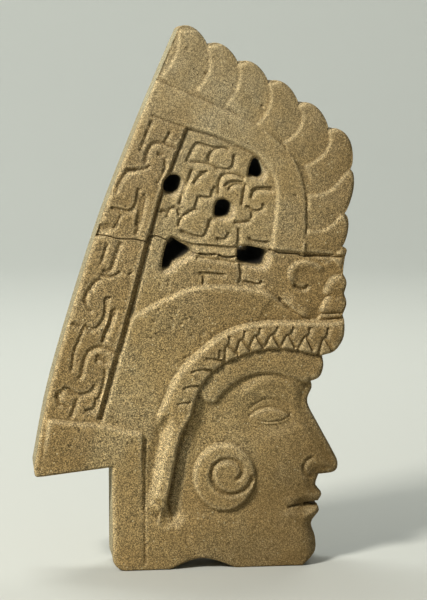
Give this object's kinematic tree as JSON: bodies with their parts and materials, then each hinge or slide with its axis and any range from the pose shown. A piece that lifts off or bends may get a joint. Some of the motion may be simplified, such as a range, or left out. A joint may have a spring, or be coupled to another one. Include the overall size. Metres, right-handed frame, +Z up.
{
  "type": "carved stone ballgame hacha",
  "caption": "Thin upright stone carving of a head in profile under a tall feathered headdress with pierced openwork and a square notch at the back.",
  "frame": {"origin": "centre of the bounding box at the underside of the foot", "axes": "+Z up the carving, +X the way the face looks, -Y out of the better carved side"},
  "size_m": [0.2558, 0.0527, 0.4316],
  "materials": {
    "stone": "tan, fine-grained and matt, with pits and a mended crack"
  },
  "bodies": {
    "root": {"hacha": "stone"}
  },
  "joints": []
}
